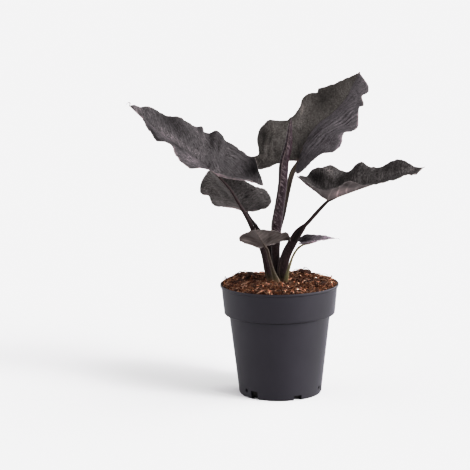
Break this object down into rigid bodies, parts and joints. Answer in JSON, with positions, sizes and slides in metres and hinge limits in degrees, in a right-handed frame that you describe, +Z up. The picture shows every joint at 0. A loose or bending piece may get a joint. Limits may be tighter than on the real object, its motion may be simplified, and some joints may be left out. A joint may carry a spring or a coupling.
{
  "type": "potted velvet-leaved alocasia",
  "caption": "Young alocasia with dark velvety arrow-shaped leaves on slender stalks and a rolled new leaf, in a filled plastic nursery pot with a collar, feet and drain notches.",
  "frame": {"origin": "middle of the pot's underside, where the pot stands", "axes": "+Z up the pot's axis, +X to the right seen from the front, +Y to the rear"},
  "size_m": [0.2934, 0.1401, 0.3208],
  "materials": {
    "pot_plastic": "satin moulded polypropylene",
    "mix": "loose coir and bark",
    "blade": "velvety",
    "stalk": "smooth, satin",
    "rolled_leaf": "smooth, mottled",
    "bark": "rough",
    "perlite": "rough, porous"
  },
  "bodies": {
    "root": {"nursery_pot": "pot_plastic", "potting_mix": "mix", "petiole_left": "stalk", "petiole_upper": "stalk", "petiole_right": "stalk", "petiole_rear": "stalk", "petiole_front_small": "stalk", "petiole_right_small": "stalk", "petiole_new_leaf": "stalk", "blade_left": "blade", "blade_upper": "blade", "blade_right": "blade", "blade_rear": "blade", "blade_front_small": "blade", "blade_right_small": "blade", "rolled_new_leaf": "rolled_leaf", "bark_chip_1": "bark", "bark_chip_2": "bark", "bark_chip_3": "bark", "bark_chip_4": "bark", "bark_chip_5": "bark", "bark_chip_6": "bark", "bark_chip_7": "bark", "bark_chip_8": "bark", "perlite_grain_1": "perlite", "perlite_grain_2": "perlite", "perlite_grain_3": "perlite", "perlite_grain_4": "perlite", "perlite_grain_5": "perlite", "perlite_grain_6": "perlite", "perlite_grain_7": "perlite", "perlite_grain_8": "perlite"}
  },
  "joints": []
}
